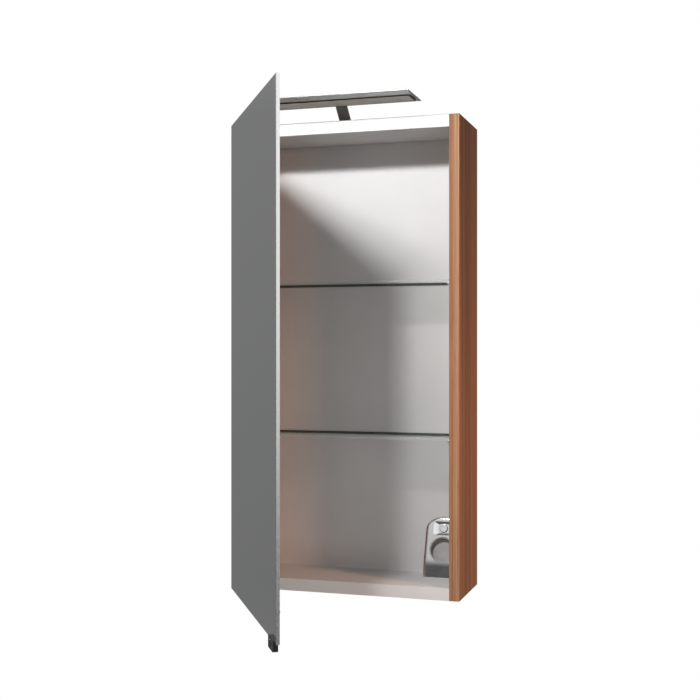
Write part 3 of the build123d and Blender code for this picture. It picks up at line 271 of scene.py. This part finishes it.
# Wood and boards
def walnut(graph, light, middle, dark):
    """Walnut decor with upright grain: broad bands, streaks, fine fibres and dark pores."""
    bands = graph.noise(scale=(60, 60, 0.8), detail=2, distortion=0.5)
    streaks = graph.noise(scale=(330, 330, 1.6), detail=4, roughness=0.65)
    fibres = graph.noise(scale=(1100, 1100, 11), detail=3)
    grain = graph.weigh((streaks, 0.5), (bands, 0.35), (fibres, 0.15))
    colour = graph.ramp(grain, ((0.42, dark), (0.5, middle), (0.58, light)))
    pores = graph.spread(graph.noise(scale=(1500, 1500, 34), detail=1), span=(0.62, 0.72))
    colour = graph.mix(graph.weigh((pores, 0.5)), colour, shade(dark, 0.55))
    height = graph.weigh((fibres, 0.4), (pores, -1.0))
    roughness = graph.spread(streaks, NOISE_BROAD, out=(0.58, 0.70))
    return colour, roughness, graph.bump(height, depth=0.00012)


def chipboard(graph):
    """Pressed flakes, as on a raw edge of board."""
    dark = (0.22, 0.13, 0.07)
    middle = (0.42, 0.28, 0.16)
    light = (0.58, 0.43, 0.27)
    flakes = graph.cells(scale=420)
    tone = graph.noise(scale=90, detail=4)
    picked = graph.weigh((tone, 0.5), (flakes, 0.6))
    return graph.ramp(picked, ((0.2, dark), (0.5, middle), (0.8, light)))


def raw_behind(graph, face):
    """A board's face, with bare chipboard on what faces the wall."""
    rear = graph.spread(graph.side(REAR), span=(0.6, 0.8))
    return graph.mix(rear, face, chipboard(graph))


def make_walnut_board(graph):
    light = (0.330, 0.153, 0.075)
    middle = (0.252, 0.112, 0.053)
    dark = (0.171, 0.071, 0.031)
    colour, roughness, normal = walnut(graph, light, middle, dark)
    graph.surface(raw_behind(graph, colour), roughness, normal, Specular_IOR_Level=0.2)


def make_walnut_edge(graph):
    light = (0.505, 0.276, 0.158)
    middle = (0.395, 0.208, 0.113)
    dark = (0.270, 0.132, 0.068)
    colour, roughness, normal = walnut(graph, light, middle, dark)
    graph.surface(colour, roughness, normal, Specular_IOR_Level=0.3)


def melamine(graph, colour):
    """A white face with a faint mottle."""
    mottle = graph.noise(scale=14, detail=4)
    return graph.mix(graph.spread(mottle, NOISE_NARROW), shade(colour, 0.965), colour)


def finish_melamine(graph, face):
    """Melamine's uneven shine and fine peel on a face."""
    peel = graph.noise(scale=2600, detail=2)
    roughness = graph.spread(graph.noise(scale=55), NOISE_BROAD, out=(0.40, 0.50))
    graph.surface(face, roughness, graph.bump(peel, depth=0.00003, strength=0.35), Specular_IOR_Level=0.2)


def make_white_board(graph):
    face = melamine(graph, colour=(0.68, 0.68, 0.675))
    finish_melamine(graph, raw_behind(graph, face))


def make_white_edge(graph):
    """White band, with a thin grey line of painted shade along the top arris of the upper one."""
    # Painted shade: a grey line along the band's top, standing for the shade of its rounded arris
    arris_shade_grey = (0.30, 0.30, 0.30)
    top_z = max(corner[2] for corner in nodes["top_edge_band"].bound_box)
    arris_shade = graph.spread(graph.along(UP), span=(top_z - EDGE_START, top_z - EDGE_FULL))
    face = melamine(graph, colour=(0.78, 0.78, 0.78))
    finish_melamine(graph, graph.mix(arris_shade, face, arris_shade_grey))


def make_white_back(graph):
    """Fibreboard: white lacquer in front, bare brown pressing behind."""
    white_low = (0.79, 0.79, 0.785)
    white_high = (0.82, 0.82, 0.815)
    brown_low = (0.19, 0.11, 0.06)
    brown_high = (0.35, 0.22, 0.13)
    mottle = graph.noise(scale=9, detail=5)
    white = graph.mix(graph.spread(mottle, NOISE_NARROW), white_low, white_high)
    fibre = graph.noise(scale=(700, 120, 240), detail=5, roughness=0.65)
    brown = graph.ramp(fibre, ((0.3, brown_low), (0.7, brown_high)))
    rear = graph.spread(graph.side(REAR), span=(0.4, 0.6))
    roughness = graph.spread(rear, span=(0.0, 1.0), out=(0.42, 0.85))
    peel = graph.bump(graph.noise(scale=1800, detail=2), depth=0.00004, strength=0.35)
    graph.surface(graph.mix(rear, white, brown), roughness, peel, Specular_IOR_Level=0.3)


def make_dowel_wood(graph):
    dark = (0.46, 0.30, 0.16)
    light = (0.66, 0.48, 0.30)
    fibres = graph.noise(scale=(14, 900, 900), detail=4, distortion=0.3)
    colour = graph.ramp(fibres, ((0.3, dark), (0.7, light)))
    roughness = graph.spread(fibres, NOISE_BROAD, out=(0.6, 0.75))
    graph.surface(colour, roughness, graph.bump(fibres, depth=0.0001))


# Metals
def bare_metal(graph, colour, streak_scale, roughness):
    """Metal with drawn streaks and a few duller patches, within a range of roughness."""
    streaks = graph.noise(streak_scale, detail=5, roughness=0.65)
    patches = graph.noise(scale=120, detail=3)
    tone = graph.mix(graph.spread(streaks, NOISE_BROAD), shade(colour, 0.9), colour)
    wear = graph.weigh((patches, 0.4), (streaks, 0.6))
    uneven = graph.spread(wear, NOISE_NARROW, out=roughness)
    graph.surface(tone, uneven, graph.bump(streaks, depth=0.00002, strength=0.4), Metallic=1.0)


def make_zinc(graph):
    bare_metal(graph, colour=(0.55, 0.55, 0.56), streak_scale=500, roughness=(0.42, 0.58))


def make_steel(graph):
    bare_metal(graph, colour=(0.60, 0.60, 0.61), streak_scale=(900, 900, 200), roughness=(0.26, 0.42))


def make_hinge_steel(graph):
    bare_metal(graph, colour=(0.62, 0.61, 0.59), streak_scale=(1600, 1600, 30), roughness=(0.22, 0.36))


def make_lamp_metal(graph):
    bare_metal(graph, colour=(0.50, 0.50, 0.495), streak_scale=(10, 2400, 2400), roughness=(0.36, 0.42))


def make_contact_brass(graph):
    bare_metal(graph, colour=(0.62, 0.44, 0.18), streak_scale=(700, 700, 90), roughness=(0.25, 0.40))


# Glass
def make_clear_glass(graph):
    """Float glass: clear faces, a pale ground front edge and a rear edge painted dark as shade, where no light
    comes in.
    """
    clear_tint = (0.985, 1.0, 0.992)
    face_colour = (0.05, 0.075, 0.068)
    front_colour = (0.80, 0.84, 0.82)
    # Painted shade: the rear edge is coloured near black to stand for the shade there
    rear_shade_colour = (0.012, 0.018, 0.016)
    front_share = 0.06
    rear_shade_share = 0.68
    front_roughness = 0.5
    corners = nodes["upper_glass_shelf"].bound_box
    front_y = min(corner[1] for corner in corners)
    rear_y = max(corner[1] for corner in corners)
    depth = graph.along(REAR)
    front = graph.spread(depth, span=(front_y + EDGE_FULL, front_y + EDGE_START), out=(1.0, 0.0))
    # Mask of the rear edge that carries the painted shade
    rear = graph.spread(depth, span=(rear_y - EDGE_START, rear_y - EDGE_FULL))
    smear = graph.noise(scale=30, detail=5)
    body = graph.mix(front, graph.mix(rear, face_colour, rear_shade_colour), front_colour)
    smear_roughness = graph.spread(smear, span=(0.4, 0.75), out=(0.0, 0.03))
    roughness = graph.math("MULTIPLY_ADD", front, front_roughness, smear_roughness)
    shader, output = graph.surface(body, roughness)
    clear = graph.node("ShaderNodeBsdfTransparent")
    graph.wire_colour(clear_tint, clear.inputs["Color"])
    smear_share = graph.spread(smear, NOISE_BROAD, out=(0.10, 0.13))
    share = graph.math("MULTIPLY_ADD", front, front_share, smear_share)
    share = graph.math("MULTIPLY_ADD", rear, rear_shade_share, share)
    graph.join_shaders(share, clear, shader, output)


def make_mirror_glass(graph):
    """Silvered glass: mirror on the two faces, ground glass on the edges."""
    silver_colour = (0.84, 0.85, 0.85)
    edge_low = (0.71, 0.73, 0.72)
    edge_high = (0.79, 0.80, 0.795)
    door_turn = radians(-joints["door_swing"]["range_deg"][0])
    facing = graph.math("ABSOLUTE", graph.side((sin(door_turn), cos(door_turn), 0)))
    silver = graph.spread(facing, span=(0.75, 0.95))
    haze = graph.noise(scale=18, detail=6, roughness=0.6)
    face_roughness = graph.spread(haze, span=(0.45, 0.8), out=(0.015, 0.05))
    ground = graph.noise(scale=(900, 900, 260), detail=3)
    edge_roughness = graph.spread(ground, NOISE_BROAD, out=(0.20, 0.27))
    smoother = graph.math("SUBTRACT", face_roughness, edge_roughness)
    roughness = graph.math("MULTIPLY_ADD", silver, smoother, edge_roughness)
    edge = graph.mix(graph.spread(ground, NOISE_BROAD), edge_low, edge_high)
    colour = graph.mix(silver, edge, silver_colour)
    metallic = graph.spread(silver, span=(0.0, 1.0), out=(0.85, 1.0))
    graph.surface(colour, roughness, Metallic=metallic)


# Plastics, rubber and paint
def moulded(graph, colour, roughness, grain, depth, **more):
    """Moulded plastic or rubber: a fine spark grain, a soft mottle and uneven shine."""
    spark = graph.noise(grain, detail=2)
    mottle = graph.noise(scale=60, detail=4)
    tone = graph.mix(graph.spread(mottle, NOISE_NARROW), shade(colour, 0.9), shade(colour, 1.06))
    uneven = graph.spread(mottle, NOISE_BROAD, out=roughness)
    graph.surface(tone, uneven, graph.bump(spark, depth, strength=0.5), **more)


def make_bond_pad(graph):
    moulded(graph, colour=(0.05, 0.05, 0.05), roughness=(0.75, 0.9), grain=1500, depth=0.00012)


def make_clear_bumper(graph):
    moulded(
        graph,
        colour=(0.78, 0.79, 0.79),
        roughness=(0.15, 0.25),
        grain=900,
        depth=0.00002,
        Transmission_Weight=0.7,
        IOR=1.45,
    )


def make_grip_black(graph):
    moulded(graph, colour=(0.018, 0.018, 0.018), roughness=(0.22, 0.36), grain=1800, depth=0.00002)


def make_opal(graph):
    moulded(graph, colour=(0.55, 0.515, 0.455), roughness=(0.45, 0.6), grain=2200, depth=0.00002)


def make_lamp_board(graph):
    moulded(graph, colour=(0.70, 0.70, 0.68), roughness=(0.4, 0.5), grain=1500, depth=0.00003)


def make_led_yellow(graph):
    moulded(graph, colour=(0.75, 0.62, 0.20), roughness=(0.2, 0.3), grain=2500, depth=0.00002)


def make_arm_dark(graph):
    moulded(graph, colour=(0.17, 0.17, 0.172), roughness=(0.48, 0.62), grain=2600, depth=0.00006)


def make_grommet_rubber(graph):
    moulded(graph, colour=(0.035, 0.035, 0.035), roughness=(0.7, 0.85), grain=1300, depth=0.00006)


def make_box_silver(graph):
    """Silver lacquer with fine metal flakes."""
    flake_low = (0.74, 0.74, 0.745)
    flake_high = (0.86, 0.86, 0.86)
    flakes = graph.noise(scale=4200, detail=1)
    cloud = graph.noise(scale=40, detail=3)
    colour = graph.mix(graph.spread(flakes, NOISE_NARROW), flake_low, flake_high)
    roughness = graph.spread(cloud, NOISE_BROAD, out=(0.13, 0.18))
    graph.surface(colour, roughness, graph.bump(flakes, depth=0.00001, strength=0.2), Metallic=1.0)


def make_socket_grey(graph):
    moulded(graph, colour=(0.45, 0.45, 0.445), roughness=(0.4, 0.52), grain=1900, depth=0.00003)


def make_inner_black(graph):
    moulded(graph, colour=(0.07, 0.07, 0.07), roughness=(0.45, 0.6), grain=1700, depth=0.00004)


FINISHES = {
    "walnut_board": make_walnut_board,
    "walnut_edge": make_walnut_edge,
    "white_board": make_white_board,
    "white_edge": make_white_edge,
    "white_back": make_white_back,
    "dowel_wood": make_dowel_wood,
    "zinc": make_zinc,
    "steel": make_steel,
    "hinge_steel": make_hinge_steel,
    "clear_glass": make_clear_glass,
    "mirror_glass": make_mirror_glass,
    "bond_pad": make_bond_pad,
    "clear_bumper": make_clear_bumper,
    "grip_black": make_grip_black,
    "lamp_metal": make_lamp_metal,
    "opal": make_opal,
    "lamp_board": make_lamp_board,
    "led_yellow": make_led_yellow,
    "arm_dark": make_arm_dark,
    "grommet_rubber": make_grommet_rubber,
    "box_silver": make_box_silver,
    "socket_grey": make_socket_grey,
    "contact_brass": make_contact_brass,
    "inner_black": make_inner_black,
}

finishes = {}
for slot_name, make in FINISHES.items():
    finishes[slot_name] = bpy.data.materials.new("finish_" + slot_name)
    make(Graph(finishes[slot_name]))

for subpart in frame["record"]["subparts"]:
    for material_slot in nodes[subpart["node"]].material_slots:
        material_slot.material = finishes[subpart["material_slot"]]


# Screws: countersunk heads with a tapered cross recess, in place of the plain pegs; the cross is
# given in shares of the head's radius, and its turn from one screw to the next in radians
SCREW_SIDES = 40
CROSS_REACH = 0.62
CROSS_HALF_WIDTH = 0.15
CROSS_DEPTH = 0.5
CROSS_TAPER = 0.55
CROSS_TURN = 1.1
WELD_GAP = 1e-6
HEAD_FLATNESS = 1e-5
AXIS_RADIUS = 1e-4
RING_DIGITS = 5


def solids_of(mesh):
    """Points of each separate solid in a mesh."""
    shape = bmesh.new()
    shape.from_mesh(mesh)
    bmesh.ops.remove_doubles(shape, verts=shape.verts, dist=WELD_GAP)
    shape.verts.index_update()
    seen = set()
    solids = []
    for first in shape.verts:
        waiting = [] if first.index in seen else [first]
        points = []
        while waiting:
            vertex = waiting.pop()
            if vertex.index in seen:
                continue
            seen.add(vertex.index)
            points.append(vertex.co.copy())
            waiting.extend(edge.other_vert(vertex) for edge in vertex.link_edges)
        if points:
            solids.append(points)
    shape.free()
    return solids


def circle_places(radius):
    angles = [2 * pi * step / SCREW_SIDES for step in range(SCREW_SIDES)]
    return [(radius * cos(angle), radius * sin(angle)) for angle in angles]


def cross_places(radius, turn):
    """Corners of a cross: one arm's three corners, turned by a quarter four times."""
    reach = radius * CROSS_REACH
    half = radius * CROSS_HALF_WIDTH
    places = []
    for quarter in range(4):
        angle = turn + quarter * pi / 2
        for x, y in ((reach, -half), (reach, half), (half, half)):
            places.append((x * cos(angle) - y * sin(angle), x * sin(angle) + y * cos(angle)))
    return places


def join_loops(shape, upper, lower, into_hole=False):
    """Faces between two loops of equal length, facing outwards, or into a hole."""
    for place in range(len(upper)):
        after = (place + 1) % len(upper)
        corners = [upper[place], lower[place], lower[after], upper[after]]
        shape.faces.new(corners[::-1] if into_hole else corners)


def rings_of(points, centre, out):
    """A peg's rings about its axis, from the head down, as pairs of a height and a radius."""
    rings = set()
    for point in points:
        height = (point - centre).dot(out)
        radius = (point - centre - out * height).length
        if radius > AXIS_RADIUS:
            rings.add((round(height, RING_DIGITS), round(radius, RING_DIGITS)))
    return sorted(rings, reverse=True)


def add_screw(shape, points, out, turn):
    """A screw of a peg's size: the peg's rings about its axis, and a cross let into the head."""
    top = max(point.dot(out) for point in points)
    head = [point for point in points if top - point.dot(out) < HEAD_FLATNESS]
    centre = sum(head, Vector()) / len(head)
    across = out.orthogonal().normalized()
    side = out.cross(across)

    def loop(places, height):
        return [shape.verts.new(centre + across * x + side * y + out * height) for x, y in places]

    def rim(corners):
        return [shape.edges.get((corner, corners[place - 1])) for place, corner in enumerate(corners)]

    rings = rings_of(points, centre, out)
    loops = [loop(circle_places(radius), height) for height, radius in rings]
    for upper, lower in zip(loops, loops[1:]):
        join_loops(shape, upper, lower)
    shape.faces.new(loops[-1][::-1])
    head_radius = rings[0][1]
    mouth = loop(cross_places(head_radius, turn), 0.0)
    sole = loop(cross_places(head_radius * CROSS_TAPER, turn), -head_radius * CROSS_DEPTH)
    join_loops(shape, mouth, sole, into_hole=True)
    shape.faces.new(sole)
    bmesh.ops.triangle_fill(shape, edges=rim(loops[0]) + rim(mouth), normal=out, use_beauty=True)


def make_screws(node_name, out_of):
    """Screws for every peg of a node; out_of gives the way a peg's head faces."""
    shape = bmesh.new()
    for number, points in enumerate(solids_of(nodes[node_name].data)):
        add_screw(shape, points, Vector(out_of(points[0])), number * CROSS_TURN)
    name = "cross_" + node_name
    mesh = bpy.data.meshes.new(name)
    shape.to_mesh(mesh)
    shape.free()
    mesh.materials.append(finishes["steel"])
    piece = bpy.data.objects.new(name, mesh)
    scene.collection.objects.link(piece)
    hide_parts(node_name)
    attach(piece, "carcass")


make_screws("hinge_screws", lambda point: FRONT)
make_screws("hanger_screws", lambda point: (-1 if point.x > 0 else 1, 0, 0))
make_screws("lamp_arm_screws", lambda point: UP)


# Studio: floor, world, lamps and camera
def shiny_ray(graph, path):
    """1 for rays that come from a mirror, a shiny surface or glass."""
    return graph.math("MAXIMUM", path.outputs["Is Glossy Ray"], path.outputs["Is Transmission Ray"])


def make_floor():
    """A pale disc that keeps the shadow near the cabinet and turns white further out."""
    paper_low = (0.80, 0.80, 0.80)
    paper_high = (0.83, 0.83, 0.83)
    paper_roughness = 0.8
    shape = bmesh.new()
    bmesh.ops.create_circle(shape, cap_ends=True, segments=FLOOR_SIDES, radius=FLOOR_RADIUS)
    mesh = bpy.data.meshes.new("floor")
    shape.to_mesh(mesh)
    shape.free()
    floor = bpy.data.objects.new("floor", mesh)
    floor.location.z = FLOOR_Z
    scene.collection.objects.link(floor)
    material = bpy.data.materials.new("floor_paper")
    graph = Graph(material)
    fleck = graph.noise(scale=160, detail=4)
    paper = graph.mix(graph.spread(fleck, NOISE_NARROW), paper_low, paper_high)
    shader, output = graph.surface(paper, paper_roughness)
    distance = graph.node("ShaderNodeVectorMath", operation="LENGTH")
    graph.wire(graph.place(), distance.inputs[0])
    far = graph.spread(distance.outputs["Value"], span=(FLOOR_SHADOW_RADIUS, FLOOR_WHITE_RADIUS))
    path = graph.node("ShaderNodeLightPath")
    seen = graph.math("MAXIMUM", path.outputs["Is Camera Ray"], shiny_ray(graph, path))
    white = graph.node("ShaderNodeEmission")
    graph.join_shaders(graph.math("MULTIPLY", far, seen), shader, white, output)
    mesh.materials.append(material)


def grey_ramp(graph, value, stops):
    """A ramp of greys, from pairs of a position and a grey level."""
    return graph.ramp(value, [(position, (level, level, level)) for position, level in stops])


def seen_room(graph, direction, height):
    """What mirrors and metal see: a dim room, a bright screen and the white backdrop."""
    half = 0.5
    level = graph.math("MULTIPLY_ADD", height, half, half)
    behind = grey_ramp(graph, level, ROOM_BEHIND)
    before = grey_ramp(graph, level, ROOM_BEFORE)
    room = graph.mix(graph.spread(graph.dot(direction, REAR), ROOM_TURN_SPAN), before, behind)
    screen = graph.spread(graph.dot(direction, SCREEN_SIDE), SCREEN_SPAN)
    room = graph.mix(screen, room, WHITE)
    turn = radians(CAMERA_TURN)
    ahead = graph.dot(direction, (-sin(turn), cos(turn), 0))
    fade = (cos(radians(BACKDROP_FADE_ANGLE)), cos(radians(BACKDROP_HALF_ANGLE)))
    return graph.mix(graph.spread(ahead, fade), room, WHITE)


def make_world():
    """White for the camera, the room for what shines in plain view, and even light for the rest."""
    world = bpy.data.worlds.new("studio")
    scene.world = world
    graph = Graph(world)
    direction = graph.node("ShaderNodeTexCoord").outputs["Generated"]
    height = graph.dot(direction, UP)
    path = graph.node("ShaderNodeLightPath")
    direct = graph.math("LESS_THAN", path.outputs["Diffuse Depth"], FIRST_BOUNCE)
    seen_in_gloss = graph.math("MULTIPLY", shiny_ray(graph, path), direct)
    ambient = graph.spread(height, AMBIENT_SPAN, out=(AMBIENT_BELOW, AMBIENT_ABOVE))
    even = graph.mix(ambient, BLACK, WHITE)
    lit = graph.mix(seen_in_gloss, even, seen_room(graph, direction, height))
    shown = graph.mix(path.outputs["Is Camera Ray"], lit, WHITE)
    background = graph.node("ShaderNodeBackground")
    output = graph.node("ShaderNodeOutputWorld")
    graph.wire(shown, background.inputs["Color"])
    graph.wire(background.outputs[0], output.inputs["Surface"])


def make_key_lamp():
    lamp = bpy.data.lights.new("key_lamp", "POINT")
    lamp.energy = KEY_POWER
    lamp.shadow_soft_size = KEY_RADIUS
    holder = bpy.data.objects.new("key_lamp", lamp)
    holder.location = KEY_PLACE
    scene.collection.objects.link(holder)


def make_soft_lamp(name, place, aim, size, power, colour=WHITE, beam=180.0, shines=False):
    """An area lamp; without shine it lights surfaces but leaves no glint on them."""
    lamp = bpy.data.lights.new(name, "AREA")
    lamp.energy = power
    lamp.color = colour
    lamp.shape = "RECTANGLE"
    lamp.size, lamp.size_y = size
    lamp.spread = radians(beam)
    holder = bpy.data.objects.new(name, lamp)
    holder.location = place
    holder.visible_glossy = shines
    holder.rotation_euler = (Vector(aim) - Vector(place)).to_track_quat("-Z", "Y").to_euler()
    scene.collection.objects.link(holder)


def make_camera():
    lens = bpy.data.cameras.new("camera")
    lens.sensor_width = SENSOR_MM
    lens.lens = FOCAL_PX / PICTURE_PX * SENSOR_MM
    camera = bpy.data.objects.new("camera", lens)
    camera.location = CAMERA_PLACE
    camera.rotation_euler = (pi / 2, 0, radians(CAMERA_TURN))
    scene.collection.objects.link(camera)
    scene.camera = camera


make_floor()
make_world()
make_key_lamp()
make_soft_lamp("wing_lamp", WING_PLACE, WING_AIM, WING_SIZE, WING_POWER)
make_soft_lamp("side_lamp", SIDE_PLACE, SIDE_AIM, SIDE_SIZE, SIDE_POWER, shines=True)
make_soft_lamp("warm_lamp", WARM_PLACE, WARM_AIM, WARM_SIZE, WARM_POWER, WARM_COLOUR, WARM_BEAM)
make_soft_lamp("front_lamp", FRONT_PLACE, FRONT_AIM, FRONT_SIZE, FRONT_POWER)
make_camera()
